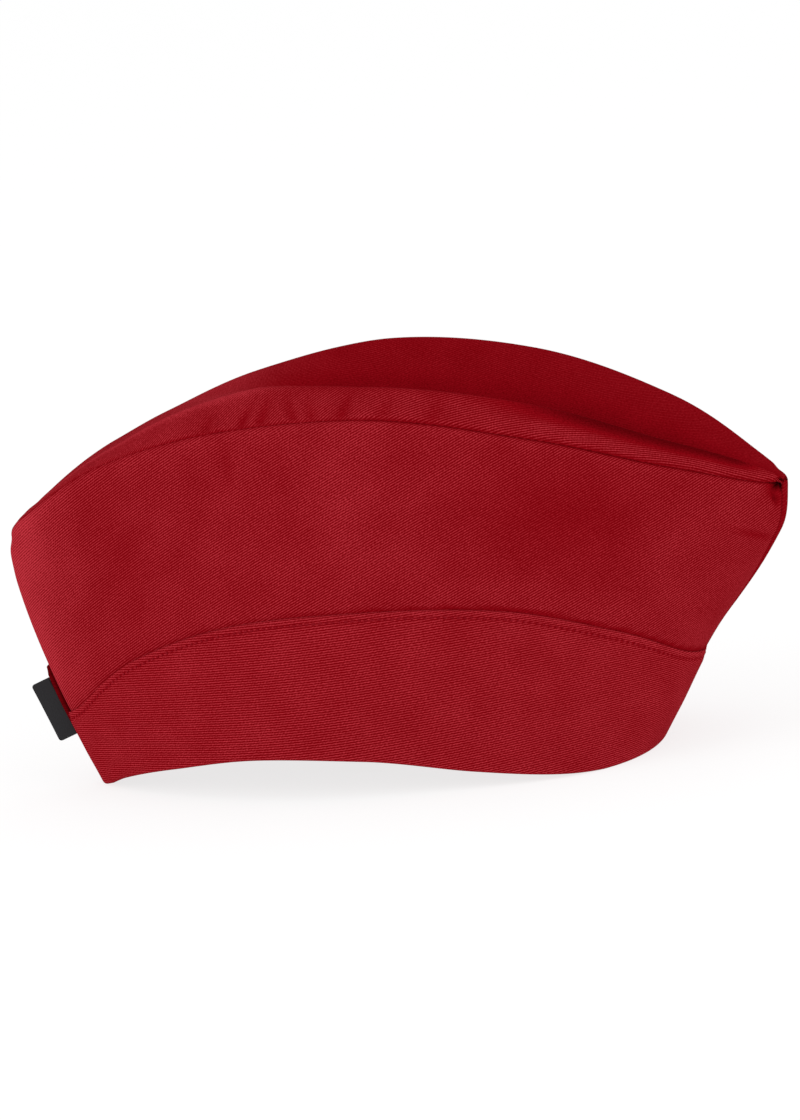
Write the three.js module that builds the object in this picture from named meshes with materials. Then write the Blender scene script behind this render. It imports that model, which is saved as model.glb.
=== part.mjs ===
// Soft garrison cap in cotton twill: two side panels, a folded crown gusset sewn between them,
// a turned-up cuff in two halves, and a plain woven tag in the back seam of the cuff.
// Millimetres, +Z up, front of the cap towards +X, right side of the wearer towards -Y.
// The cap stands on its rim on the plane Z = 0.
import * as THREE from "three";

// Cloth and sewing sizes
const panelThickness = 1.2;
const cuffThickness = 2.0;
const cuffGap = 0.4;
const seamGap = 0.6;
const rimFold = 2.0;
const rimRound = 1.2;
const edgeRound = 0.7;

// Woven tag in the back seam of the cuff
const tag = { low: 20, high: 43, reach: 7.5, thickness: 0.8, gap: 0.3, side: 0.4, corner: 1.2 };

// The front seam turns to the right side towards the crown: radians there, and where that starts
const frontSeam = { turn: 0.24, start: 0.5 };

// Facets of the walls and of the crown
const facets = { along: 38, panelUp: 9, cuffUp: 4, crownAcross: 22 };

// Level loops up the wall. up: share of the wall height; back, front: ends of the loop;
// half: half width; backFull, frontFull: 1 is an ellipse, less is creased, more is blunt.
const levels = [
  { up: 0.0, back: -123, front: 92, half: 67.5, backFull: 0.55, frontFull: 1.5 },
  { up: 0.4, back: -139, front: 116.5, half: 69, backFull: 0.55, frontFull: 1.15 },
  { up: 0.8, back: -150, front: 146.3, half: 62, backFull: 0.5, frontFull: 0.85 },
  { up: 1.0, back: -150.5, front: 151, half: 52, backFull: 0.4, frontFull: 0.7 },
];

// Heights round one side, from the back (0) to the front (1). rim: fold of the cuff, flat where
// it would sink below the plane it stands on; cuffRight, cuffLeft: upper edge of each cuff half;
// seam: upper edge of the side panels; flare: how far the cuff's edge stands off the panel.
const sections = [
  { at: 0.0, rim: -1, cuffRight: 29, cuffLeft: 48, seam: 100.5, flare: 0.5 },
  { at: 0.0625, rim: 1, cuffRight: 31, cuffLeft: 49, seam: 105.5, flare: 0.8 },
  { at: 0.125, rim: 4.2, cuffRight: 36, cuffLeft: 51, seam: 111.5, flare: 1 },
  { at: 0.25, rim: 10.7, cuffRight: 55, cuffLeft: 58, seam: 129.5, flare: 1 },
  { at: 0.375, rim: 16, cuffRight: 68.5, cuffLeft: 68.5, seam: 140.5, flare: 0.8 },
  { at: 0.5, rim: 14, cuffRight: 71, cuffLeft: 71, seam: 141, flare: 0.6 },
  { at: 0.625, rim: 6.5, cuffRight: 66, cuffLeft: 66, seam: 127.5, flare: 0.6 },
  { at: 0.75, rim: 1, cuffRight: 52, cuffLeft: 52, seam: 110, flare: 0.6 },
  { at: 0.875, rim: -0.5, cuffRight: 38, cuffLeft: 38, seam: 98, flare: 0.6 },
  { at: 1.0, rim: -0.5, cuffRight: 32, cuffLeft: 32, seam: 95, flare: 0.3 },
];

// Folds of the crown gusset from the back (0) to the front (1): place across, as a share of the
// width from the right seam, and rise over the seam, of the right ridge, the dip between the ridges
// and the left ridge; floor: how far the dip's floor reaches to each side of its place.
const folds = [
  { at: 0.0, rightAt: 0.2, right: 0, dipAt: 0.5, floor: 0.15, dip: 0, leftAt: 0.78, left: 0 },
  { at: 0.125, rightAt: 0.2, right: 0.3, dipAt: 0.5, floor: 0.15, dip: 0.3, leftAt: 0.76, left: 0.3 },
  { at: 0.25, rightAt: 0.17, right: 3.4, dipAt: 0.5, floor: 0.15, dip: 3.2, leftAt: 0.74, left: 2.4 },
  { at: 0.3125, rightAt: 0.14, right: 7.8, dipAt: 0.46, floor: 0.15, dip: 6.2, leftAt: 0.76, left: 5.4 },
  { at: 0.375, rightAt: 0.125, right: 11.4, dipAt: 0.44, floor: 0.14, dip: 6.5, leftAt: 0.78, left: 9.8 },
  { at: 0.41, rightAt: 0.12, right: 12.8, dipAt: 0.42, floor: 0.13, dip: 4.5, leftAt: 0.8, left: 11.6 },
  { at: 0.455, rightAt: 0.115, right: 11.3, dipAt: 0.42, floor: 0.14, dip: -1, leftAt: 0.84, left: 13.9 },
  { at: 0.5, rightAt: 0.11, right: 10.3, dipAt: 0.44, floor: 0.17, dip: -5, leftAt: 0.86, left: 16.3 },
  { at: 0.625, rightAt: 0.1, right: 11.4, dipAt: 0.38, floor: 0.12, dip: -3.5, leftAt: 0.87, left: 21 },
  { at: 0.75, rightAt: 0.13, right: 8.5, dipAt: 0.26, floor: 0.04, dip: -2, leftAt: 0.88, left: 17.6 },
  { at: 0.875, rightAt: 0.16, right: 5.8, dipAt: 0.28, floor: 0.04, dip: 1, leftAt: 0.85, left: 4.9 },
  { at: 1.0, rightAt: 0.2, right: 0, dipAt: 0.5, floor: 0.15, dip: 0, leftAt: 0.78, left: 0 },
];

// Knots of one fold section: the seams, a shoulder by each seam, the ridges and the dip's floor.
const shoulder = { across: 0.45, rise: 0.6 };
const knots = { shoulder: 0.08, ridge: 0.18, floor: 0.38 };

const cloth = { color: 0x8e141d, roughness: 0.9, metalness: 0 };
const wovenTag = { color: 0x15161a, roughness: 0.85, metalness: 0 };

// Smooth value of a column at s, through the rows of a table ordered by its key column.
function spline(rows, key, column, s) {
  const last = rows.length - 1;
  let i = 0;
  while (i < last - 1 && s > rows[i + 1][key]) i += 1;
  const chord = (a, b) => (rows[b][column] - rows[a][column]) / (rows[b][key] - rows[a][key]);
  const width = rows[i + 1][key] - rows[i][key];
  const startSlope = chord(Math.max(i - 1, 0), i + 1) * width;
  const endSlope = chord(i, Math.min(i + 2, last)) * width;
  const t = (s - rows[i][key]) / width;
  const near = rows[i][column] * (1 + 2 * t) * (1 - t) ** 2 + startSlope * t * (1 - t) ** 2;
  const far = rows[i + 1][column] * t * t * (3 - 2 * t) + endSlope * t * t * (t - 1);
  return near + far;
}

// The angle runs round the cap: 0 at the back, pi at the front, right side first.
function sideShare(angle) {
  const share = THREE.MathUtils.euclideanModulo(angle, 2 * Math.PI) / Math.PI;
  return share > 1 ? 2 - share : share;
}

function rimHeight(angle) {
  return Math.max(0, spline(sections, "at", "rim", sideShare(angle)));
}

function seamHeight(angle) {
  return spline(sections, "at", "seam", sideShare(angle));
}

// Outer face of the side panels: up is 0 at the rim and 1 at the crown seam.
function wallPoint(angle, up) {
  const level = (column) => spline(levels, "up", column, up);
  const along = -Math.cos(angle);
  const across = Math.sin(angle);
  const full = along < 0 ? level("backFull") : level("frontFull");
  const middle = (level("front") + level("back")) / 2;
  const reach = (level("front") - level("back")) / 2;
  return new THREE.Vector3(
    middle + reach * along,
    -level("half") * across * (full + (1 - full) * across ** 2),
    THREE.MathUtils.lerp(rimHeight(angle), seamHeight(angle), up),
  );
}

// Slopes of a surface point(a, b) by small steps, and its outward normal.
const smallStep = 1e-3;

function slope(point, a, b, stepA, stepB) {
  const ahead = point(a + stepA, b + stepB);
  return ahead.sub(point(a - stepA, b - stepB)).divideScalar(2 * smallStep);
}

function normal(point, a, b) {
  const alongA = slope(point, a, b, smallStep, 0);
  return alongA.cross(slope(point, a, b, 0, smallStep)).normalize();
}

function planNormal(angle, up) {
  return normal(wallPoint, angle, up).setZ(0).normalize();
}

// Direction of the cut edges along the crown seam, shared by the panels and the gusset, and the
// width of gusset beside the seam that leans over to it.
const seamTilt = 0.5;
const seamLean = 6;

function seamNormal(angle) {
  const outward = normal(wallPoint, angle, 1);
  outward.z += seamTilt;
  return outward.normalize();
}

// Closed shell between an outer and an inner grid of points of the same size. The outer grid's
// columns and rows run so that their cross product points out of the cloth.
function shell(outer, inner) {
  const columns = outer.length;
  const rows = outer[0].length;
  const count = columns * rows;
  const positions = [...outer.flat(), ...inner.flat()].flatMap((p) => p.toArray());
  const index = [];
  const quad = (a, b, c, d) => index.push(a, b, c, a, c, d);
  const at = (i, j) => i * rows + j;
  for (let i = 0; i < columns - 1; i += 1) {
    for (let j = 0; j < rows - 1; j += 1) {
      const face = [at(i, j), at(i + 1, j), at(i + 1, j + 1), at(i, j + 1)];
      quad(...face);
      quad(...face.map((corner) => corner + count).reverse());
    }
  }
  const edge = [];
  for (let i = 0; i < columns - 1; i += 1) edge.push(at(i, 0));
  for (let j = 0; j < rows - 1; j += 1) edge.push(at(columns - 1, j));
  for (let i = columns - 1; i > 0; i -= 1) edge.push(at(i, rows - 1));
  for (let j = rows - 1; j > 0; j -= 1) edge.push(at(0, j));
  edge.forEach((corner, k) => {
    const next = edge[(k + 1) % edge.length];
    quad(next, corner, corner + count, next + count);
  });
  const geometry = new THREE.BufferGeometry();
  geometry.setAttribute("position", new THREE.Float32BufferAttribute(positions, 3));
  geometry.setIndex(index);
  geometry.computeVertexNormals();
  return geometry;
}

function named(name, geometry, finish) {
  const mesh = new THREE.Mesh(geometry, new THREE.MeshStandardMaterial(finish));
  mesh.name = name;
  return mesh;
}

// Angles of the right and the left side at a share of the length, 0 at the back and 1 at the front.
// Towards the crown both turn with the front seam.
function sideAngles(share, up) {
  const turn = frontSeam.turn * THREE.MathUtils.smoothstep(up, frontSeam.start, 1) * share ** 4;
  return { right: Math.PI * share - turn, left: 2 * Math.PI - Math.PI * share - turn };
}

// Angle of a column of one side, held back from the seams at both ends by half the seam gap.
function columnAngle(side, share, up) {
  const point = (s, u) => wallPoint(sideAngles(s, u)[side], u);
  const inset = (end) => seamGap / 2 / slope(point, end, up, smallStep, 0).length();
  return sideAngles(THREE.MathUtils.lerp(inset(0), 1 - inset(1), share), up)[side];
}

function steps(count) {
  return Array.from({ length: count + 1 }, (_, k) => k / count);
}

// Columns of one side, in the order in which the angle grows.
function columns(side) {
  return side === "right" ? steps(facets.along) : steps(facets.along).reverse();
}

// One side panel, from just above the rim's fold to just below the crown seam.
function sidePanel(name, side) {
  const outer = [];
  const inner = [];
  for (const share of columns(side)) {
    const rimAngle = sideAngles(share, 0)[side];
    const crownAngle = sideAngles(share, 1)[side];
    const low = (rimFold + cuffGap) / (seamHeight(rimAngle) - rimHeight(rimAngle));
    const high = 1 - seamGap / 2 / slope(wallPoint, crownAngle, 1, 0, smallStep).length();
    const outerColumn = [];
    const innerColumn = [];
    steps(facets.panelUp).forEach((step, row) => {
      const up = THREE.MathUtils.lerp(low, high, step);
      const angle = columnAngle(side, share, up);
      const point = wallPoint(angle, up);
      const inward = row === facets.panelUp ? seamNormal(angle) : normal(wallPoint, angle, up);
      outerColumn.push(point);
      innerColumn.push(point.clone().addScaledVector(inward, -panelThickness));
    });
    outer.push(outerColumn);
    inner.push(innerColumn);
  }
  return named(name, shell(outer, inner), cloth);
}

// Section of the cuff: stand-off from the panel's face and height over the rim, for the outer
// and the inner face, from the fold under the panel to the free upper edge.
function cuffSection(angle, top) {
  const flare = spline(sections, "at", "flare", sideShare(angle));
  const height = top - rimHeight(angle);
  const face = cuffGap + cuffThickness;
  const lean = (h) => flare * (h / height) ** 2;
  const rows = [
    { out: [-panelThickness, 0], in: [-panelThickness, rimFold] },
    { out: [face - rimRound, 0], in: [-cuffGap, rimFold] },
    { out: [face - 0.3 * rimRound, 0.3 * rimRound], in: [0.6 * cuffGap, rimFold + 0.2] },
    { out: [face, rimRound], in: [cuffGap, rimFold + rimRound] },
  ];
  const low = 2 * (rimFold + rimRound);
  const high = height - edgeRound;
  for (const step of steps(facets.cuffUp)) {
    const h = THREE.MathUtils.lerp(low, high, step);
    rows.push({ out: [face + lean(h), h], in: [cuffGap + lean(h), h] });
  }
  const edge = edgeRound * 0.8;
  rows.push({ out: [face + flare - edge, height], in: [cuffGap + flare + edge, height] });
  return rows;
}

// One half of the cuff, from the back seam to the front seam of its side.
function cuffHalf(name, side, column) {
  const outer = [];
  const inner = [];
  for (const share of columns(side)) {
    const angle = columnAngle(side, share, 0);
    const top = spline(sections, "at", column, sideShare(angle));
    const wallHeight = seamHeight(angle) - rimHeight(angle);
    const place = ([stand, h]) => {
      const up = h / wallHeight;
      return wallPoint(angle, up).addScaledVector(planNormal(angle, up), stand);
    };
    const rows = cuffSection(angle, top);
    outer.push(rows.map((row) => place(row.out)));
    inner.push(rows.map((row) => place(row.in)));
  }
  return named(name, shell(outer, inner), cloth);
}

// Outer face of the crown gusset: across is 0 at the right seam and 1 at the left seam.
function crownPoint(along, across) {
  const angles = sideAngles(along, 1);
  const right = wallPoint(angles.right, 1);
  const left = wallPoint(angles.left, 1);
  const fold = (column) => spline(folds, "at", column, along);
  const rightAt = fold("rightAt");
  const leftAt = fold("leftAt");
  const section = [
    { knot: 0, share: 0, rise: 0 },
    { knot: knots.shoulder, share: rightAt * shoulder.across, rise: fold("right") * shoulder.rise },
    { knot: knots.ridge, share: rightAt, rise: fold("right") },
    { knot: knots.floor, share: fold("dipAt") - fold("floor"), rise: fold("dip") },
    { knot: 1 - knots.floor, share: fold("dipAt") + fold("floor"), rise: fold("dip") },
    { knot: 1 - knots.ridge, share: leftAt, rise: fold("left") },
    {
      knot: 1 - knots.shoulder,
      share: 1 - (1 - leftAt) * shoulder.across,
      rise: fold("left") * shoulder.rise,
    },
    { knot: 1, share: 1, rise: 0 },
  ];
  const point = right.lerp(left, spline(section, "knot", "share", across));
  point.z += spline(section, "knot", "rise", across);
  return point;
}

// The crown gusset: a lens of cloth between the seams, ridged along each and dented between, which
// ends a column or two short of the points. Near a seam its thickness leans to the cut edges there.
function crownGusset(name) {
  const outer = [];
  const inner = [];
  for (const along of steps(facets.along).slice(1, -2)) {
    const angles = sideAngles(along, 1);
    const edge = (across) => seamGap / 2 / slope(crownPoint, along, across, 0, smallStep).length();
    const start = edge(0);
    const end = 1 - edge(1);
    const first = crownPoint(along, start);
    const last = crownPoint(along, end);
    const outerColumn = [];
    const innerColumn = [];
    for (const share of steps(facets.crownAcross)) {
      const across = THREE.MathUtils.lerp(start, end, share);
      const point = crownPoint(along, across);
      const nearSeam = share < 0.5 ? first : last;
      const cutEdge = seamNormal(share < 0.5 ? angles.right : angles.left);
      const free = THREE.MathUtils.smoothstep(point.distanceTo(nearSeam), 0, seamLean);
      const inward = cutEdge.lerp(normal(crownPoint, along, across), free).normalize();
      outerColumn.push(point);
      innerColumn.push(point.clone().addScaledVector(inward, -panelThickness));
    }
    outer.push(outerColumn);
    inner.push(innerColumn);
  }
  return named(name, shell(outer, inner), cloth);
}

// The tag: a flat flag along the back seam of the cuff, standing straight back from it.
function seamTag(name) {
  const faceAt = (height) => {
    const up = height / (seamHeight(0) - rimHeight(0));
    const stand = cuffGap + cuffThickness + spline(sections, "at", "flare", 0) + tag.gap;
    return wallPoint(0, up).addScaledVector(planNormal(0, up), stand);
  };
  const low = faceAt(tag.low);
  const high = faceAt(tag.high);
  const length = low.distanceTo(high);
  const outline = new THREE.Shape();
  outline.moveTo(0, 0);
  outline.lineTo(length, 0);
  outline.lineTo(length, tag.reach - tag.corner);
  outline.quadraticCurveTo(length, tag.reach, length - tag.corner, tag.reach);
  outline.lineTo(tag.corner, tag.reach);
  outline.quadraticCurveTo(0, tag.reach, 0, tag.reach - tag.corner);
  outline.closePath();
  const settings = { depth: tag.thickness, bevelEnabled: false, curveSegments: 3 };
  const geometry = new THREE.ExtrudeGeometry(outline, settings);
  const seamLine = high.clone().sub(low).normalize();
  const thickness = new THREE.Vector3(0, -1, 0);
  const outward = thickness.clone().cross(seamLine);
  const place = new THREE.Matrix4().makeBasis(seamLine, outward, thickness);
  place.setPosition(low.x, tag.side + tag.thickness, low.z);
  geometry.applyMatrix4(place);
  return named(name, geometry, wovenTag);
}

const cap = new THREE.Group();
cap.add(
  sidePanel("side_panel_right", "right"),
  sidePanel("side_panel_left", "left"),
  crownGusset("crown_gusset"),
  cuffHalf("cuff_right", "right", "cuffRight"),
  cuffHalf("cuff_left", "left", "cuffLeft"),
  seamTag("seam_tag"),
);

export default cap;
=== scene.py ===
import math
import bpy
import numpy as np
from mathutils import Matrix


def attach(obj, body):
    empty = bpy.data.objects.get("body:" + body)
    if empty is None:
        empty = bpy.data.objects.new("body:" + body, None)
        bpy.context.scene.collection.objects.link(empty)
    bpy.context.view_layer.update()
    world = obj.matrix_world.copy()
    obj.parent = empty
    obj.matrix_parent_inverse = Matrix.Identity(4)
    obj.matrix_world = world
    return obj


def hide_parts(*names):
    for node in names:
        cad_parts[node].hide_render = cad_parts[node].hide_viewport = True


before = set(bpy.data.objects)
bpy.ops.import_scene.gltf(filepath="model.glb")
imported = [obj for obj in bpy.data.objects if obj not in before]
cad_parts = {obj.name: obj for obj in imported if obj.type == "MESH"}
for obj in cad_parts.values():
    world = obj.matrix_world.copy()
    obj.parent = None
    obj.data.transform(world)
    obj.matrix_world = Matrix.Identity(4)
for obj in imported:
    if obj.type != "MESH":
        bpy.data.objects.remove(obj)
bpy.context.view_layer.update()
mm = 0.001                                      # the tables below are in millimetres
scene = bpy.context.scene
print("frame loaded:", len(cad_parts), "nodes")


# The form of the cap

def table(columns, *rows):                      # rows of numbers under named columns
    return dict(zip(columns.split(), np.array(rows, float).T))


wallLevels = table(                             # level loops up the wall: ends, half width, fullness
    "up back front half backFull frontFull",
    (0.0, -123, 92, 67.5, 0.55, 1.5),
    (0.4, -139, 116.5, 69, 0.55, 1.15),
    (0.8, -150, 146.3, 62, 0.5, 0.85),
    (1.0, -150.5, 151, 52, 0.4, 0.7),
)
wallSections = table(                           # heights round one side, from the back to the front
    "at rim cuffRight cuffLeft seam flare",
    (0.0, -1, 29, 48, 100.5, 0.5),
    (0.0625, 1, 31, 49, 105.5, 0.8),
    (0.125, 4.2, 36, 51, 111.5, 1),
    (0.25, 10.7, 55, 58, 129.5, 1),
    (0.375, 16, 68.5, 68.5, 140.5, 0.8),
    (0.5, 14, 71, 71, 141, 0.6),
    (0.625, 6.5, 66, 66, 127.5, 0.6),
    (0.75, 1, 52, 52, 110, 0.6),
    (0.875, -0.5, 38, 38, 98, 0.6),
    (1.0, -0.5, 32, 32, 95, 0.3),
)
crownFolds = table(                             # ridges and valley of the gusset: place across, rise
    "at rightAt right valleyAt floor valley leftAt left",
    (0.0, 0.2, 0, 0.5, 0.15, 0, 0.78, 0),
    (0.125, 0.2, 0.3, 0.5, 0.15, 0.3, 0.76, 0.3),
    (0.25, 0.17, 3.4, 0.5, 0.15, 3.2, 0.74, 2.4),
    (0.3125, 0.14, 7.8, 0.46, 0.15, 6.2, 0.76, 5.4),
    (0.375, 0.125, 11.4, 0.44, 0.14, 6.5, 0.78, 9.8),
    (0.41, 0.12, 12.8, 0.42, 0.13, 4.5, 0.8, 11.6),
    (0.455, 0.115, 11.3, 0.42, 0.14, -1, 0.84, 13.9),
    (0.5, 0.11, 10.3, 0.44, 0.17, -5, 0.86, 16.3),
    (0.625, 0.1, 11.4, 0.38, 0.12, -3.5, 0.87, 21),
    (0.75, 0.13, 8.5, 0.26, 0.04, -2, 0.88, 17.6),
    (0.875, 0.16, 5.8, 0.28, 0.04, 1, 0.85, 5.8),
    (1.0, 0.2, 0, 0.5, 0.15, 0, 0.78, 0),
)
frontSeam = {"turn": 0.148, "start": 0.42, "end": 0.78}     # the front seam turns to the right
crownKnots = np.array([0, 0.08, 0.18, 0.38, 0.62, 0.82, 0.92, 1])
shoulder = {"across": 0.45, "rise": 0.6}        # bend of the gusset beside each seam
rimFold = 2.0                                   # height of the cuff's fold under the panels
cuffGap = 0.4                                   # between the panels and the cuff
seamTilt = 0.5                                  # how far the cut edges of the crown seam lean up
smallStep = 1e-3                                # step for slopes


def curveThrough(x, y, s):                      # smooth curve through knots, y with the knots last
    s = np.asarray(s, float)
    y = np.broadcast_to(y, s.shape + (len(x),))
    i = np.clip(np.searchsorted(x, s) - 1, 0, len(x) - 2)
    before, after = np.maximum(i - 1, 0), np.minimum(i + 2, len(x) - 1)
    at = lambda k: np.take_along_axis(y, k[..., None], -1)[..., 0]
    width = x[i + 1] - x[i]
    startSlope = (at(i + 1) - at(before)) / (x[i + 1] - x[before]) * width
    endSlope = (at(after) - at(i)) / (x[after] - x[i]) * width
    t = (s - x[i]) / width
    near = (at(i) * (1 + 2 * t) + startSlope * t) * (1 - t) ** 2
    return near + (at(i + 1) * (3 - 2 * t) + endSlope * (t - 1)) * t * t


def smooth(x, low, high):
    t = np.clip((x - low) / (high - low), 0, 1)
    return t * t * (3 - 2 * t)


def bell(x, centre, width):
    return np.exp(-((x - centre) / width) ** 2)


def unit(vectors):
    return vectors / np.linalg.norm(vectors, axis=-1, keepdims=True)


def sideShare(angle):                           # 0 at the back, 1 at the front, on either side
    share = np.mod(angle, 2 * np.pi) / np.pi
    return np.where(share > 1, 2 - share, share)


def section(column, angle):
    return curveThrough(wallSections["at"], wallSections[column], sideShare(angle))


def rimHeight(angle):
    return np.maximum(0, section("rim", angle))


def sideAngle(side, share, up):                 # both sides turn with the front seam towards the crown
    turn = frontSeam["turn"] * smooth(up, frontSeam["start"], frontSeam["end"]) * share ** 4
    return np.pi * share - turn if side == "right" else 2 * np.pi - np.pi * share - turn


def wall(angle, up):                            # outer face of the side panels
    angle, up = np.broadcast_arrays(angle, up)
    level = lambda column: curveThrough(wallLevels["up"], wallLevels[column], up)
    along, across = -np.cos(angle), np.sin(angle)
    full = np.where(along < 0, level("backFull"), level("frontFull"))
    front, back = level("front"), level("back")
    x = (front + back) / 2 + (front - back) / 2 * along
    y = -level("half") * across * (full + (1 - full) * across ** 2)
    rim = rimHeight(angle)
    return np.stack([x, y, rim + (section("seam", angle) - rim) * up], -1)


def crown(along, across):                       # outer face of the gusset
    along, across = np.broadcast_arrays(along, across)
    right, left = (wall(sideAngle(side, along, 1.0), 1.0) for side in ("right", "left"))
    fold = {c: curveThrough(crownFolds["at"], crownFolds[c], along) for c in crownFolds if c != "at"}
    rightAt, leftAt, none = fold["rightAt"], fold["leftAt"], np.zeros_like(along)
    shares = [none, rightAt * shoulder["across"], rightAt, fold["valleyAt"] - fold["floor"],
              fold["valleyAt"] + fold["floor"], leftAt, 1 - (1 - leftAt) * shoulder["across"], none + 1]
    rises = [none, fold["right"] * shoulder["rise"], fold["right"], fold["valley"], fold["valley"],
             fold["left"], fold["left"] * shoulder["rise"], none]
    share = curveThrough(crownKnots, np.stack(shares, -1), across)[..., None]
    point = right + (left - right) * share
    point[..., 2] += curveThrough(crownKnots, np.stack(rises, -1), across)
    return point


def normal(surface, a, b):                      # outward normal by small steps
    alongA = surface(a + smallStep, b) - surface(a - smallStep, b)
    alongB = surface(a, b + smallStep) - surface(a, b - smallStep)
    return unit(np.cross(alongA, alongB))


def seamLean(angle):                            # direction of the cut edges along the crown seam
    return unit(normal(wall, angle, np.ones_like(angle)) + np.array([0, 0, seamTilt]))


def speed(surface, a, b):                       # millimetres for one unit of b
    return np.linalg.norm(surface(a, b + smallStep) - surface(a, b - smallStep), axis=-1) / 2 / smallStep


def lengths(points, axis):                      # distance run along one side of a grid
    step = np.linalg.norm(np.diff(points, axis=axis), axis=-1)
    first = np.zeros_like(np.take(points[..., 0], [0], axis))
    return np.concatenate([first, np.cumsum(step, axis=axis)], axis=axis)


def turned(u, v, degrees):                      # weave coordinates with the twill lines along U
    c, s = math.cos(math.radians(degrees)), math.sin(math.radians(degrees))
    return np.stack([u * c + v * s, v * c - u * s], -1) * mm


# Sewing marks

cornerPulls = table(                            # the corners of the outline are soft and round
    "x y z pullX pullZ reach",
    (-150.5, 0, 100.5, 0.7, -1.0, 4.5),
    (-150.5, 0, 95, -0.8, 0, 6.5),
    (149.5, 5, 97, -1.1, -1.3, 5),
)
crownSeam = {
    "depth": 1.0, "width": 2.2, "gap": 0.07,    # how the cloth turns down into the seam
    "cutEdge": 6,                               # the thickness leans with the cut edge as far as this
    "line": 1.3,                                # half width of the painted shade line
    "backDepth": 0.5, "backReach": (-70, 20),   # the seam is flatter towards the back
    "corner": (1, 14),                          # and starts this far from the back corner
    # how the painted seam shade varies along the stitches
    "stitch": 2.3, "stitchDrift": 1.5, "driftLength": 9.0,      # radians for each millimetre, and drift
    "tuckLevel": 0.72, "tuck": 0.28, "sway": 0.2, "swayLength": 13.0,
}
puckerWaves = table(                            # millimetres for each radian, start and height
    "length start height",
    (1.45, 0, 0.5),
    (2.2, 1.3, 0.6),
    (0.97, 0.4, 0.35),
)
puckerLook = {"reach": 2.2, "swellLength": 17.0, "swellStart": 0.8}


def drawnIn(points):
    moved = points.copy()
    for x, y, z, pullX, pullZ, reach in zip(*cornerPulls.values()):
        near = bell(np.linalg.norm(points - np.array([x, y, z]), axis=-1), 0, reach)
        moved += near[..., None] * np.array([pullX, 0, pullZ])
    return moved


def roll(distance, width):                      # cloth turning down into a seam
    return np.clip(1 - distance / width, 0, 1) ** 2


def stitchShade(run):                                 # painted seam shade, deeper where the seam is drawn in at each stitch
    look = crownSeam
    stitches = np.sin(run * look["stitch"] + look["stitchDrift"] * np.sin(run / look["driftLength"]))
    return look["tuckLevel"] + look["tuck"] * stitches + look["sway"] * np.sin(run / look["swayLength"])


def tight(points):
    back = crownSeam["backDepth"]
    return back + (1 - back) * smooth(points[..., 0], *crownSeam["backReach"])


def puckers(run, distance, slant):              # small gathers beside a seam, fading away from it
    s = run - distance * slant
    waves = sum(height * np.sin(s / length + start) for length, start, height in zip(*puckerWaves.values()))
    swell = np.sin(s / puckerLook["swellLength"] + puckerLook["swellStart"])
    near = distance / puckerLook["reach"]
    return waves * swell * near * np.exp(1 - near)


def dents(points, marks):                       # soft hollows and swells on a panel
    total = np.zeros(points.shape[:-1])
    for x, z, halfX, halfZ, turn, depth in zip(*marks.values()):
        c, s = math.cos(math.radians(turn)), math.sin(math.radians(turn))
        dx, dz = points[..., 0] - x, points[..., 2] - z
        total += depth * np.exp(-((dx * c + dz * s) / halfX) ** 2 - ((dz * c - dx * s) / halfZ) ** 2)
    return total


def thicken(outer, facing, lean, toSeam, thickness):    # inner face, along the cut edge at the seam
    inward = unit(lean + (facing - lean) * smooth(toSeam, 0, crownSeam["cutEdge"])[..., None])
    return outer - inward * thickness


# Meshes

def shellFaces(columns, rows):                  # outer grid, inner grid and the edge between them
    index = np.arange(columns * rows).reshape(columns, rows)
    corners = [index[:-1, :-1], index[1:, :-1], index[1:, 1:], index[:-1, 1:]]
    outer = np.stack(corners, -1).reshape(-1, 4)
    edge = np.concatenate([index[:-1, 0], index[-1, :-1], index[:0:-1, -1], index[0, :0:-1]])
    following = np.roll(edge, -1)
    count = columns * rows
    strip = np.stack([following, edge, edge + count, following + count], -1)
    return np.concatenate([outer, outer[:, ::-1] + count, strip])


def makePiece(name, outer, inner, weave, paintedShading, material, inside=0.0):
    points = np.concatenate([outer.reshape(-1, 3), inner.reshape(-1, 3)]) * mm
    mesh = bpy.data.meshes.new(name)
    mesh.from_pydata(points.tolist(), [], shellFaces(*outer.shape[:2]).tolist())
    corner = np.empty(len(mesh.loops), np.int32)
    mesh.loops.foreach_get("vertex_index", corner)
    weave = np.concatenate([weave.reshape(-1, 2)] * 2)
    layer = mesh.uv_layers.new(name="weave")
    layer.data.foreach_set("uv", weave[corner].astype(np.float32).ravel())
    # painted light and shade for each point, outside and inside
    paintedShading = [np.broadcast_to(side, outer.shape[:2]).ravel() for side in (paintedShading, inside)]
    shadingLayer = mesh.attributes.new("paintedShading", "FLOAT", "POINT")
    shadingLayer.data.foreach_set("value", np.concatenate(paintedShading).astype(np.float32))
    mesh.shade_smooth()
    mesh.materials.append(material)
    piece = bpy.data.objects.new(name, mesh)
    scene.collection.objects.link(piece)
    area = sum(face.area for face in mesh.polygons) / 2
    print(name, len(mesh.polygons), "faces,", round(area, 4), "square metres")
    return piece


# Node trees

class Wire:                                     # a socket that Python maths can use
    def __init__(self, tree, socket):
        self.tree, self.socket = tree, socket

    def other(self, name):                      # another output of the same node
        return Wire(self.tree, self.socket.node.outputs[name])

    def maths(self, operation, *values):
        return self.tree.add("ShaderNodeMath", {"operation": operation}, dict(enumerate(values)))

    def __add__(self, value):
        return self.maths("ADD", self, value)

    def __sub__(self, value):
        return self.maths("SUBTRACT", self, value)

    def __rsub__(self, value):
        return self.maths("SUBTRACT", value, self)

    def __mul__(self, value):
        return self.maths("MULTIPLY", self, value)

    def __truediv__(self, value):
        return self.maths("DIVIDE", self, value)

    def __pow__(self, value):
        return self.maths("POWER", self, value)

    __radd__, __rmul__ = __add__, __mul__


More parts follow.
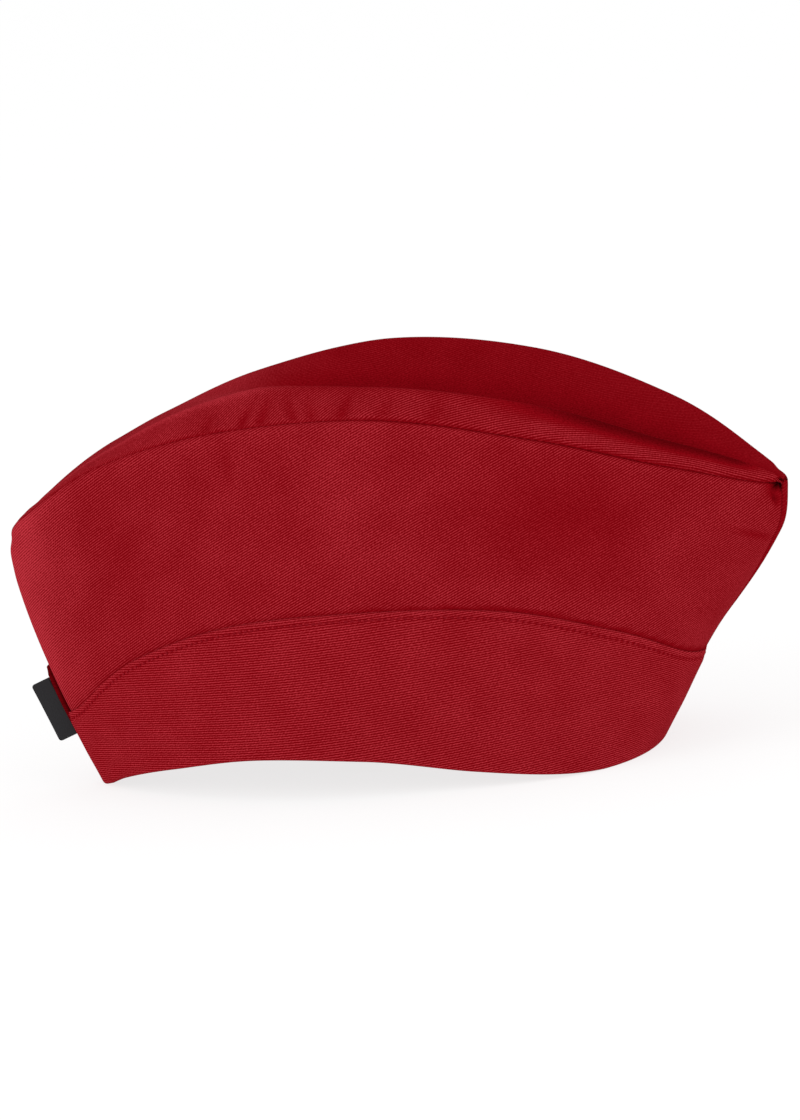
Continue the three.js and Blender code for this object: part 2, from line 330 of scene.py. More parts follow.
class NodeTree:
    def __init__(self, tree):
        self.tree = tree
        tree.nodes.clear()

    def add(self, kind, settings=None, values=None, out=0):
        node = self.tree.nodes.new(kind)
        for name, value in (settings or {}).items():
            setattr(node, name, value)
        for name, value in (values or {}).items():
            if isinstance(value, Wire):
                self.tree.links.new(value.socket, node.inputs[name])
            else:
                node.inputs[name].default_value = value
        return Wire(self, node.outputs[out]) if len(node.outputs) else None

    def mix(self, factor, a, b):                # two colours
        return self.add("ShaderNodeMix", {"data_type": "RGBA"}, {0: factor, 6: a, 7: b}, out=2)

    def scaled(self, vector, scale):
        return self.add("ShaderNodeVectorMath", {"operation": "MULTIPLY"}, {0: vector, 1: scale})

    def noise(self, vector, **values):
        return self.add("ShaderNodeTexNoise", {}, {"Vector": vector, "Scale": 1.0, **values}, out="Fac")


def newMaterial(name):
    material = bpy.data.materials.new(name)
    material.use_nodes = True
    return material, NodeTree(material.node_tree)


twillLook = {
    "line": 0.00095,                            # metres from one twill line to the next
    "crossLine": 0.00105,                       # and from one crossing yarn to the next
    "crossTurn": 58,                            # degrees between them
    "wander": (90, 260, 1), "lineWander": 0.3, "crossWander": 0.6,      # the yarns aren't quite straight
    "floats": (1150, 1500, 1), "clouds": (60, 60, 1),   # scales of the single yarns and the broad tones
    "lineSharp": 3.0, "lineShare": 0.85,
    "height": 0.92, "float": 1.1, "cloud": 0.34, "paintedShading": 0.7, "level": -0.146,  # what makes a thread light, painted light and shade included
    # thread colours of the twill pattern; the light one also stands for painted sheen on the thread tops
    "dark": (0.178, 0.0008, 0.0030, 1),
    "light": (0.520, 0.0370, 0.0530, 1),
    "deepDark": (0.165, 0.0006, 0.0028, 1),     # painted shade: plain red of the cloth where it is shaded
    "deepLight": (0.275, 0.0034, 0.0082, 1),
    "deepHeight": 0.4, "deepFloat": 2.0, "deepCloud": 0.5, "deepLevel": 0.3,
    "deepFrom": -1.4,                           # share of the painted shade colour for each unit of painted shading
    "hollowShade": 0.45, "hollowShadeLevel": 1.225,       # painted shade: creases are darkened
    "roughness": 0.9,
    "bump": 0.00010, "bumpStrength": 0.6,
    "sheen": 0.015,
    "sheenRoughness": 0.26,
    "sheenTint": (1.0, 0.5, 0.54, 1),
}


def makeTwill(name, look):
    material, tree = newMaterial(name)
    weave = tree.add("ShaderNodeUVMap", {"uv_map": "weave"})
    u = tree.add("ShaderNodeSeparateXYZ", {}, {0: weave}, out="X")
    v = u.other("Y")
    wander = tree.noise(tree.scaled(weave, look["wander"]), Detail=2.0)
    lines = v / look["line"] + wander * look["lineWander"]
    turn = math.radians(look["crossTurn"])
    yarns = (u * math.sin(turn) - v * math.cos(turn)) / look["crossLine"] + wander * look["crossWander"]
    ridge = (u.maths("COSINE", lines * (2 * math.pi)) * 0.5 + 0.5) ** look["lineSharp"]
    cross = u.maths("COSINE", yarns * (2 * math.pi)) * 0.5 + 0.5
    floats = tree.noise(tree.scaled(weave, look["floats"]), Detail=1.5) - 0.5
    cloud = tree.noise(tree.scaled(weave, look["clouds"]), Detail=3.0) - 0.5
    # painted light and shade of each point, set on the pieces
    paintedShading = tree.add("ShaderNodeAttribute", {"attribute_name": "paintedShading"}, out="Fac")
    height = ridge * look["lineShare"] + cross * (1 - look["lineShare"])
    shade = height * look["height"] + floats * look["float"] + cloud * look["cloud"]
    thread = tree.mix(shade + paintedShading * look["paintedShading"] + look["level"], look["dark"], look["light"])
    # painted shade: a plainer, darker red where the cloth is shaded
    faint = height * look["deepHeight"] + floats * look["deepFloat"] + cloud * look["deepCloud"]
    deep = tree.mix(faint + look["deepLevel"], look["deepDark"], look["deepLight"])
    shaded = tree.mix(paintedShading * look["deepFrom"], thread, deep)
    # painted shade: creases are darkened further
    hollowShade = paintedShading.maths("MINIMUM", paintedShading * look["hollowShade"] + look["hollowShadeLevel"], 1.0)
    darkness = tree.add("ShaderNodeCombineXYZ", {}, {"X": hollowShade, "Y": hollowShade, "Z": hollowShade})
    values = {"Strength": look["bumpStrength"], "Distance": look["bump"], "Height": height}
    bump = tree.add("ShaderNodeBump", {}, values)
    values = {
        "Base Color": tree.scaled(shaded, darkness),
        "Roughness": look["roughness"],
        "Specular IOR Level": 0.0,
        "Sheen Weight": look["sheen"],
        "Sheen Roughness": look["sheenRoughness"],
        "Sheen Tint": look["sheenTint"],
        "Normal": bump,
    }
    shader = tree.add("ShaderNodeBsdfPrincipled", {}, values)
    tree.add("ShaderNodeOutputMaterial", {}, {"Surface": shader})
    return material


tapeLook = {
    "colour": (0.006, 0.006, 0.007, 1), "light": (0.016, 0.015, 0.018, 1),
    "rib": 0.00042, "yarn": 0.7, "ribShare": 0.6,       # metres from rib to rib, and its share for a yarn
    "specks": (1800, 1800, 1), "speckShare": 0.5,
    "bump": 0.0001, "bumpStrength": 0.5,
    "roughness": 0.7, "shine": 0.3,
}


def makeTape(name, look):
    material, tree = newMaterial(name)
    weave = tree.add("ShaderNodeUVMap", {"uv_map": "weave"})
    u = tree.add("ShaderNodeSeparateXYZ", {}, {0: weave}, out="X")
    v = u.other("Y")
    rib = u.maths("COSINE", u * (2 * math.pi / look["rib"])) * 0.5 + 0.5
    yarn = v.maths("COSINE", v * (2 * math.pi / (look["rib"] * look["yarn"]))) * 0.5 + 0.5
    speck = tree.noise(tree.scaled(weave, look["specks"]), Detail=1.0)
    height = rib * look["ribShare"] + yarn * (1 - look["ribShare"])
    tone = height * (1 - look["speckShare"]) + speck * look["speckShare"]
    values = {"Strength": look["bumpStrength"], "Distance": look["bump"], "Height": height}
    bump = tree.add("ShaderNodeBump", {}, values)
    values = {
        "Base Color": tree.mix(tone, look["colour"], look["light"]),
        "Roughness": look["roughness"],
        "Specular IOR Level": look["shine"],
        "Normal": bump,
    }
    shader = tree.add("ShaderNodeBsdfPrincipled", {}, values)
    tree.add("ShaderNodeOutputMaterial", {}, {"Surface": shader})
    return material


threadLook = {
    "dark": (0.18, 0.002, 0.006, 1), "light": (0.34, 0.014, 0.024, 1),
    "fibres": (3000, 3000, 3000), "roughness": 0.9,
}


def makeThread(name, look):
    material, tree = newMaterial(name)
    place = tree.add("ShaderNodeTexCoord", out="Object")
    fibre = tree.noise(tree.scaled(place, look["fibres"]), Detail=1.0)
    colour = tree.mix(fibre, look["dark"], look["light"])
    values = {"Base Color": colour, "Roughness": look["roughness"], "Specular IOR Level": 0.0}
    shader = tree.add("ShaderNodeBsdfPrincipled", {}, values)
    tree.add("ShaderNodeOutputMaterial", {}, {"Surface": shader})
    return material


twill = makeTwill("redTwill", twillLook)
tape = makeTape("blackTape", tapeLook)
thread = makeThread("redThread", threadLook)
print("materials made")


# Side panels

panelLook = {
    "columns": 330, "rows": 100, "thickness": 1.2,
    "twill": 28,                                # degrees that the twill lines rise
    "pucker": 0.16, "puckerSlant": 0.5, "puckerEnds": 25,
    "backSeam": 0.4, "backSeamTop": (3, 14),    # depth of the end seams
    "frontSeam": 0.5, "frontSeamWidth": 1.4,
    "leftFlat": (1, 12),                        # the left crown seam is flat near the front
    "swell": 0.5, "swellAt": 2.4, "swellWidth": 1.8, "swellTop": (2, 10),       # roll beside the front seam
    "underCuff": (3, 14),                       # the cloth is quiet under the cuff
    "corner": (149.0, -5.6, 95.2),              # where the front seam meets the crown seams
    "wrinkle": 0.75, "wrinkleReach": 6.5, "spokes": 8, "spokeStart": 0.6, "spokeFrom": (0.6, 3),
    "hole": 1.5, "holeX": -1.2, "holeZ": -0.5,  # the cloth is pinched there
    "holeHalfX": 3.6, "holeHalfZ": 2.4,
}
panelShade = {                                  # painted light and shade: lighter above 0, darker below
    "back": 0.5, "backReach": (116, 149),       # painted sheen: lighter at the back, where the cloth turns round
    # painted highlight beside the crown seam
    "beside": 0.06, "besideAt": 3.0, "besideWidth": 2.0,
    "ahead": (-60, 60),                         # painted shade of seam and cuff is darker towards the front
    # painted shade in the crown seam's groove and along the front seam
    "seam": 0.2, "seamAhead": 0.75,
    "frontSeam": 1.3, "frontSeamWidth": 1.7,
    "cuff": 0.25, "cuffAhead": 0.6, "cuffReach": (0.2, 1.5),    # painted shadow along the cuff's edge
    # painted shade in dents, wrinkles, the pinched hole and creases, lighter on swells
    "dents": 0.14, "wrinkle": 0.5, "hole": 2.3, "creases": 0.8,
    # painted shade at the front end of the left panel
    "leftFront": 0.5, "leftFrontWidth": 7,
}
panelDents = table(                             # place, half sizes, turn in degrees, depth
    "x z halfX halfZ turn depth",
    (-58, 127, 3.0, 9.0, 4, -0.55),
    (70, 97, 36, 22, -12, -1.8),
    (-12, 112, 15, 26, 0, 0.9),
    (-104, 92, 9, 24, 14, -0.8),
    (104, 84, 10, 20, -20, 0.5),
)
panelCreases = table(                           # the same for the sharp creases of the right panel
    "x z halfX halfZ turn depth",
    (145.6, 89.8, 1.2, 2.4, 25, -1.4),
    (137, 78, 7, 1.3, -28, -0.5),
    (-57, 128, 1.6, 5, 4, -0.15),
)


def cornerMarks(base, look):                    # wrinkles, hole and creases at the front corner
    toCorner = base - np.array(look["corner"])
    reach = np.linalg.norm(toCorner, axis=-1)
    spoke = np.arctan2(toCorner[..., 2], -toCorner[..., 0])
    wrinkle = np.cos(spoke * look["spokes"] + look["spokeStart"])
    wrinkle = wrinkle * smooth(reach, *look["spokeFrom"]) * np.exp(-reach / look["wrinkleReach"])
    holeX = (toCorner[..., 0] - look["holeX"]) / look["holeHalfX"]
    holeZ = (toCorner[..., 2] - look["holeZ"]) / look["holeHalfZ"]
    return wrinkle, np.exp(-holeX ** 2 - holeZ ** 2), dents(base, panelCreases)


def makePanel(name, side):
    look, shade = panelLook, panelShade
    share = np.linspace(0, 1, look["columns"])[:, None]
    if side == "left":
        share = share[::-1]
    step = np.sin(np.linspace(0, math.pi / 2, look["rows"]))[None, :]   # rows closer towards the seam
    rimAngle, crownAngle = sideAngle(side, share, 0.0), sideAngle(side, share, 1.0)
    low = (rimFold + cuffGap) / (section("seam", rimAngle) - rimHeight(rimAngle))
    high = 1 - crownSeam["gap"] / speed(wall, crownAngle, np.ones_like(crownAngle))
    up = low + (high - low) * step
    angle = sideAngle(side, share, up)
    base, facing = drawnIn(wall(angle, up)), normal(wall, angle, up)
    run, rise = lengths(base, 0), lengths(base, 1)
    toEnd, toSeam = run[-1:] - run, rise[:, -1:] - rise
    fromBack, fromFront = (run, toEnd) if side == "right" else (toEnd, run)
    overCuff = base[..., 2] - section("cuffRight" if side == "right" else "cuffLeft", angle)
    soft = dents(base, panelDents) * smooth(overCuff, *look["underCuff"])
    sewn = smooth(fromBack, *crownSeam["corner"])
    relief = -look["backSeam"] * roll(fromBack, crownSeam["width"]) * smooth(toSeam, *look["backSeamTop"])
    relief -= look["frontSeam"] * roll(fromFront, look["frontSeamWidth"])
    ends = smooth(np.minimum(run, toEnd), 0, look["puckerEnds"])
    relief += look["pucker"] * puckers(run, toSeam, look["puckerSlant"]) * ends + soft
    ahead = smooth(base[..., 0], *shade["ahead"])
    # painted light and shade of the panel
    paintedShading = shade["back"] * smooth(-base[..., 0], *shade["backReach"]) + shade["dents"] * soft
    paintedShading += shade["beside"] * bell(toSeam, shade["besideAt"], shade["besideWidth"])
    paintedShading -= (shade["cuff"] + shade["cuffAhead"] * ahead) * (1 - smooth(overCuff, *shade["cuffReach"]))
    if side == "right":
        wrinkle, hole, creases = cornerMarks(base, look)
        relief += look["wrinkle"] * wrinkle - look["hole"] * hole + creases
        paintedShading += shade["wrinkle"] * np.minimum(wrinkle, 0) - shade["hole"] * hole + shade["creases"] * creases
    else:
        sewn = sewn * smooth(fromFront, *look["leftFlat"])
        swell = bell(fromFront, look["swellAt"], look["swellWidth"]) * smooth(toSeam, *look["swellTop"])
        relief += look["swell"] * swell
        paintedShading -= shade["leftFront"] * bell(fromFront, 0, shade["leftFrontWidth"])
    seamLine = (shade["seam"] + shade["seamAhead"] * ahead) * stitchShade(run[:, -1:])
    frontLine = shade["frontSeam"] * roll(fromFront, shade["frontSeamWidth"])
    paintedShading -= (seamLine * roll(toSeam, crownSeam["line"]) + frontLine) * sewn
    lean = seamLean(crownAngle)
    sink = crownSeam["depth"] * roll(toSeam, crownSeam["width"]) * sewn * tight(base)
    outer = base + facing * relief[..., None] - lean * sink[..., None]
    inner = thicken(outer, facing, lean, toSeam, look["thickness"])
    u = run - run[look["columns"] // 2]
    weave = turned(u, base[:, :1, 2] + rise, look["twill"])
    return makePiece(name, outer, inner, weave, paintedShading, twill)


rightPanel = makePanel("rightPanel", "right")
leftPanel = makePanel("leftPanel", "left")


# Crown gusset

gussetLook = {
    "columns": 360, "rows": 130, "thickness": 1.2,
    "back": 0.006, "front": 0.986,              # ends along the crown
    "twill": 27, "bias": 0.345,                 # turn of the twill lines, and where they start across
    "lean": 0.3, "leanReach": (0.5, 0.75), "leanWidth": 12,     # the strip leans away in front
    "pucker": 0.36, "puckerSlant": -0.7, "puckerQuiet": 0.25,
    "puckerAt": 0.38, "puckerSpread": 0.16,     # the gathers are strongest behind the middle
    "leftPucker": 0.144, "leftSlant": 0.6, "leftFlat": (0.93, 0.98),
    "gatherFrom": (0, 2),                       # distance from the seam over which the short folds begin
    "tip": 0.8, "tipReach": (0.965, 0.985),     # the end is drawn in at the front corner
}
gussetShade = {                                 # painted light and shade; places along and across the crown, from 0 to 1
    # painted highlight on the near crest, and a lighter painted patch behind it
    "crestAt": 0.16, "crestWidth": 0.035, "crest": 0.4, "crestFront": 0.6, "crestFade": (0.38, 0.46),
    "behind": 0.17, "behindFrom": (0.19, 0.26), "behindAt": 0.36, "behindWidth": 0.05,
    # painted shade in the valley, deeper on its floor
    "valleyNear": (0.185, 0.24), "valleyFar": (0.81, 0.88), "valleyStart": (0.35, 0.47),
    "far": 0.4, "floor": 0.6, "floorFront": 0.55, "floorEnd": (0.62, 0.76),
    "valleyFade": 0.7, "fadeReach": (0.91, 0.96),       # the painted valley shade runs out before the front corner
    # painted shade in the crease at the front
    "crease": 1.5, "creaseFrom": (0.05, 0.135), "creaseStart": (0.57, 0.70), "creaseEnd": (0.85, 0.92),
    # painted shade in the seam's groove, the gathers and at the front tip
    "seam": 0.2, "seamTight": 0.75, "pinch": 0.5, "tip": 1.75, "tipReach": (0.958, 0.978),
}
gathers = table(                                # short folds that run from the right seam
    "x slant width depth reach",
    (-66, 0.6, 2.0, 0.5, 7),
    (-51.7, 0.6, 1.6, 1.2, 7),
    (-44, 0.4, 1.9, 1.1, 9),
    (-30, -0.3, 1.7, 0.9, 8),
    (-23.5, -0.1, 1.8, 0.7, 8),
    (-12.5, 0.35, 2.0, 1.0, 9),
    (2, 0.5, 2.2, 0.4, 8),
    (21, 0.4, 2.4, 0.5, 9),
)


def foldShade(along, across, shade):            # painted light on the near crest, painted shade in the valley behind it
    crest = shade["crest"] - shade["crestFront"] * smooth(along, *shade["crestFade"])
    crest = crest * bell(across, shade["crestAt"], shade["crestWidth"])
    behind = smooth(across, *shade["behindFrom"]) * bell(along, shade["behindAt"], shade["behindWidth"])
    valley = smooth(across, *shade["valleyNear"]) * (1 - smooth(across, *shade["valleyFar"]))
    valley = valley * smooth(along, *shade["valleyStart"])
    front = smooth(along, *shade["creaseStart"]) * (1 - smooth(along, *shade["creaseEnd"]))
    crease = smooth(across, *shade["creaseFrom"]) * (across < 0.5) * front * (1 - valley)
    floor = (shade["floor"] + shade["floorFront"] * front) * (1 - smooth(across, *shade["floorEnd"]))
    dark = (shade["far"] + floor) * valley * (1 - shade["valleyFade"] * smooth(along, *shade["fadeReach"]))
    return crest + shade["behind"] * behind - shade["crease"] * crease - dark


def makeGusset(name):
    look, shade = gussetLook, gussetShade
    along = np.linspace(look["back"], look["front"], look["columns"])[:, None]
    step = 0.5 - 0.5 * np.cos(np.linspace(0, math.pi, look["rows"]))[None, :]
    first = crownSeam["gap"] / speed(crown, along, np.zeros_like(along))
    last = 1 - crownSeam["gap"] / speed(crown, along, np.ones_like(along))
    across = first + (last - first) * step
    along = along + 0 * across
    base, facing = drawnIn(crown(along, across)), normal(crown, along, across)
    run, fromRight = lengths(base, 0), lengths(base, 1)
    toLeft = fromRight[:, -1:] - fromRight
    toSeam = np.minimum(fromRight, toLeft)
    pinch = np.zeros_like(fromRight)
    for x, slant, width, deep, reach in zip(*gathers.values()):
        line = bell(base[:, :1, 0], x + slant * fromRight, width)
        pinch += deep * line * smooth(fromRight, *look["gatherFrom"]) * np.exp(-(fromRight / reach) ** 2)
    gathered = look["puckerQuiet"] + bell(along, look["puckerAt"], look["puckerSpread"])
    relief = look["pucker"] * puckers(run[:, :1], fromRight, look["puckerSlant"]) * gathered - pinch
    relief += look["leftPucker"] * puckers(run[:, -1:], toLeft, look["leftSlant"])
    relief -= look["tip"] * smooth(along, *look["tipReach"])
    leanRight, leanLeft = (seamLean(sideAngle(side, along, 1.0)) for side in ("right", "left"))
    sewn = smooth(run, *crownSeam["corner"])
    depth = crownSeam["depth"] * sewn * tight(base)
    leftDepth = depth * (1 - smooth(along, *look["leftFlat"]))
    outer = base + facing * relief[..., None]
    outer -= leanRight * (depth * roll(fromRight, crownSeam["width"]))[..., None]
    outer -= leanLeft * (leftDepth * roll(toLeft, crownSeam["width"]))[..., None]
    lean = np.where((fromRight < toLeft)[..., None], leanRight, leanLeft)
    inner = thicken(outer, facing, lean, toSeam, look["thickness"])
    # painted light and shade of the gusset
    paintedShading = foldShade(along, across, shade) - shade["pinch"] * pinch
    seamLine = (shade["seam"] + shade["seamTight"] * tight(base)) * stitchShade(run[:, :1])
    paintedShading -= seamLine * roll(toSeam, crownSeam["line"]) * sewn
    paintedShading -= shade["tip"] * smooth(along, *shade["tipReach"])
    middle = look["rows"] // 2
    u = run[:, middle:middle + 1] + 0 * run
    close = look["lean"] * smooth(along, *look["leanReach"]) * np.minimum(fromRight, look["leanWidth"])
    v = fromRight + close - fromRight[:, -1:] * look["bias"]
    return makePiece(name, outer, inner, turned(u, v, look["twill"]), paintedShading, twill)


gusset = makeGusset("crownGusset")


# Cuff

cuffLook = {
    "columns": 640, "rise": 40, "turns": 7, "thickness": 2.0, "twill": 4,
    "rimRound": 1.2, "lip": 1.2, "flare": -0.34,
    "closer": 2.2,                              # the rows are closer towards the edge
    "press": 0.8, "pressReach": 4.5, "edge": 0.06,      # flat edge, and what is left of its thickness
    "taper": 0.2, "taperWidth": 8, "taperFrom": 0.4,    # thin end at the front
    "dip": 0.5, "dipFrom": 0.94,                # low corner at the front
    "stitchDown": 2.7, "stitchPitch": 2.5, "stitchLength": 1.75, "threadWidth": 0.42,
    "stitchRow": -8, "stitchMargin": 4,         # row that runs along them, and points left out at each end
    "threadSink": 0.55, "threadInside": 0.2,    # how deep the threads lie
    "groove": 0.42, "grooveWidth": 0.75, "grooveLevel": 0.6,    # depth of the cloth drawn in by the stitches
    "insideGroove": 0.3, "insideFrom": 6,       # less on the inner face, and none on the fold
    "rope": 0.10, "ropeSlant": 1.2, "ropeAt": 1.1, "ropeWidth": 0.9,    # slanting twist of the edge
    "softness": 0.25, "softLength": 23.0, "softSlant": 0.03, "softDown": (4, 20), "softUp": (4, 14),
    "thinnest": 0.05,
}
cuffShade = {                                   # painted light and shade: lighter above 0, darker below
    "level": 0.04,
    # painted highlight on the rolled edge
    "edge": 0.12, "edgeAt": 0.6, "edgeWidth": 0.9,
    # painted shade in the stitch holes
    "stitch": 0.8, "stitchWidth": 0.5,
    "notchShade": 1.6, "notchShadeReach": (0.2, 2.5), # painted shade: the back end of the left cuff lies in the notch
}


def cuffProfile(angle, top):                    # stand-off and height over the rim, outer and inner face
    look = cuffLook
    flare = look["flare"]
    height = top - rimHeight(angle)
    face = cuffGap + look["thickness"]
    half = look["thickness"] / 2
    lean = lambda h: flare * (h / height) ** 2
    outer, inner = [], []

    def add(out, into):
        outer.append(np.broadcast_arrays(*out, angle)[:2])
        inner.append(np.broadcast_arrays(*into, angle)[:2])

    roundness = look["rimRound"]
    add((-look["lip"], 0.0), (-look["lip"], rimFold))
    add((0.0, 0.0), (-cuffGap, rimFold))
    turns = np.linspace(0, math.pi / 2, look["turns"])
    for turn in turns:
        out = (face - roundness * (1 - math.sin(turn)), roundness * (1 - math.cos(turn)))
        rise = turn / (math.pi / 2)
        add(out, (-cuffGap + 2 * cuffGap * rise, rimFold + roundness * rise ** 2))
    low, high = 2 * (rimFold + roundness), height - half
    for step in 1 - (1 - np.linspace(0, 1, look["rise"])) ** look["closer"]:
        h = low + (high - low) * step
        add((face + lean(h), h), (cuffGap + lean(h), h))
    for turn in turns[1:]:
        h = height - half * (1 - math.sin(turn))
        inset = (look["thickness"] - look["press"] - look["edge"]) * (1 - math.cos(turn))
        add((face + flare - inset, h), (cuffGap + flare, h))
    return np.stack(outer, -1), np.stack(inner, -1)


def makeCuff(name, side, column):
    look, shade = cuffLook, cuffShade
    share = np.linspace(0, 1, look["columns"])
    angle = sideAngle(side, share if side == "right" else share[::-1], 0.0)
    top = section(column, angle) - look["dip"] * smooth(sideShare(angle), look["dipFrom"], 1)
    wallHeight = section("seam", angle) - rimHeight(angle)
    height = (top - rimHeight(angle))[:, None]

    def place(stand, h):
        a, up = np.broadcast_arrays(angle[:, None], h / wallHeight[:, None])
        facing = normal(wall, a, up)
        facing[..., 2] = 0
        return wall(a, up) + unit(facing) * stand[..., None]

    (outStand, outHeight), (inStand, inHeight) = cuffProfile(angle, top)
    edgeRun = lengths(place(outStand, outHeight), 0)
    run = edgeRun[:, look["stitchRow"]][:, None]
    down = height - outHeight
    toFront = run[-1:] - run if side == "right" else run
    thin = look["taper"] * bell(toFront, 0, look["taperWidth"])

    def taper(h):
        pressed = look["press"] * (1 - smooth(height - h, 0, look["pressReach"]))
        return thin * smooth(h / height, look["taperFrom"], 1) + pressed

    turn = run * (2 * math.pi / look["stitchPitch"])
    needle = look["grooveLevel"] + (1 - look["grooveLevel"]) * np.cos(turn)
    groove = look["groove"] * needle * bell(down, look["stitchDown"], look["grooveWidth"])
    twist = np.cos(turn + down * look["ropeSlant"])
    rope = look["rope"] * twist * bell(down, look["ropeAt"], look["ropeWidth"])
    wave = np.sin(run / look["softLength"] + down * look["softSlant"])
    softness = look["softness"] * wave * smooth(down, *look["softDown"]) * smooth(outHeight, *look["softUp"])
    stand = outStand - groove - rope + softness - taper(outHeight)
    stand = np.maximum(stand, inStand + look["thinnest"])
    outer = place(stand, outHeight)
    inner = place(inStand + look["insideGroove"] * groove * (inHeight > look["insideFrom"]), inHeight)
    u = edgeRun - edgeRun[look["columns"] // 2]
    profileRun = lengths(outer, 1)
    v = top[:, None] - (profileRun[:, -1:] - profileRun)
    # painted light and shade of the cuff
    paintedShading = shade["level"] + shade["edge"] * bell(down, shade["edgeAt"], shade["edgeWidth"])
    paintedShading -= shade["stitch"] * needle ** 2 * bell(down, look["stitchDown"], shade["stitchWidth"])
    fromBack = edgeRun if side == "right" else edgeRun[-1:] - edgeRun
    notchShade = 0.0
    if side == "left":
        notchShade = -shade["notchShade"] * (1 - smooth(fromBack, *shade["notchShadeReach"]))
    piece = makePiece(name, outer, inner, turned(u, v, look["twill"]), paintedShading + notchShade, twill, notchShade)
    h = height - look["stitchDown"]
    lean = cuffGap + look["flare"] * (h / height) ** 2
    outLine = place(lean + look["thickness"] - look["groove"] * look["threadSink"] - taper(h), h)[:, 0]
    inLine = place(lean - look["threadWidth"] * look["threadInside"], h)[:, 0]
    return piece, outLine, inLine


rightCuff, rightLine, rightInside = makeCuff("rightCuff", "right", "cuffRight")
leftCuff, leftLine, leftInside = makeCuff("leftCuff", "left", "cuffLeft")


# Stitches along the cuff's edge

def stitchTree():
    group = bpy.data.node_groups.new("cuffStitches", "GeometryNodeTree")
    group.interface.new_socket("Geometry", in_out="INPUT", socket_type="NodeSocketGeometry")
    for name in ("Pitch", "Length", "Thread"):
        group.interface.new_socket(name, in_out="INPUT", socket_type="NodeSocketFloat")
    group.interface.new_socket("Geometry", in_out="OUTPUT", socket_type="NodeSocketGeometry")
    tree = NodeTree(group)
    path = tree.add("NodeGroupInput")
    curve = tree.add("GeometryNodeMeshToCurve", {}, {"Mesh": path})
    settings = {"mode": "LENGTH"}
    spaced = tree.add("GeometryNodeResampleCurve", settings, {"Curve": curve, "Length": path.other("Pitch")})
    tangent = tree.add("GeometryNodeInputTangent")
    turn = tree.add("FunctionNodeAlignRotationToVector", {"axis": "X"}, {"Vector": tangent})
    size = {"X": path.other("Length"), "Y": path.other("Thread"), "Z": path.other("Thread")}
    scale = tree.add("ShaderNodeCombineXYZ", {}, size)
    stitch = tree.add("GeometryNodeMeshUVSphere", {}, {"Segments": 8, "Rings": 6, "Radius": 0.5})
    values = {"Points": spaced, "Instance": stitch, "Rotation": turn, "Scale": scale}
    placed = tree.add("GeometryNodeInstanceOnPoints", {}, values)
    real = tree.add("GeometryNodeRealizeInstances", {}, {"Geometry": placed})
    smoothed = tree.add("GeometryNodeSetShadeSmooth", {}, {"Geometry": real})
    finished = tree.add("GeometryNodeSetMaterial", {}, {"Geometry": smoothed, "Material": thread})
    tree.add("NodeGroupOutput", {}, {"Geometry": finished})
    return group


def makeStitches(name, group, lines):
    look = cuffLook
    points, edges = [], []
    for line in lines:
        first = len(points)
        points += (line[look["stitchMargin"]:-look["stitchMargin"]] * mm).tolist()
        edges += [(i, i + 1) for i in range(first, len(points) - 1)]
    mesh = bpy.data.meshes.new(name + "Path")
    mesh.from_pydata(points, edges, [])
    piece = bpy.data.objects.new(name, mesh)
    scene.collection.objects.link(piece)
    modifier = piece.modifiers.new("stitches", "NODES")
    modifier.node_group = group
    sizes = {"Pitch": look["stitchPitch"], "Length": look["stitchLength"], "Thread": look["threadWidth"]}
    for item in group.interface.items_tree:
        if item.name in sizes:
            modifier[item.identifier] = sizes[item.name] * mm
    made = bpy.data.meshes.new_from_object(piece.evaluated_get(bpy.context.evaluated_depsgraph_get()))
    piece.modifiers.remove(modifier)
    piece.data = made
    print(name, len(made.polygons), "faces")
    return piece


stitchGroup = stitchTree()
rightStitches = makeStitches("rightCuffStitches", stitchGroup, (rightLine, rightInside))
leftStitches = makeStitches("leftCuffStitches", stitchGroup, (leftLine, leftInside))


# Woven tag

tagLook = {
    "low": 20, "high": 43, "reach": 7.8,        # heights of its ends, and how far it stands out
    "thickness": 0.3, "gap": 0.2,               # of the tape, and between its two layers
    "clear": 0.04, "side": 0.4,                 # distance from the cuff, and from the middle of the cap
    "rows": 48, "bend": 13, "run": 14,          # steps up, round the fold and along a layer
    "corner": 1.2, "curl": 0.35,
}


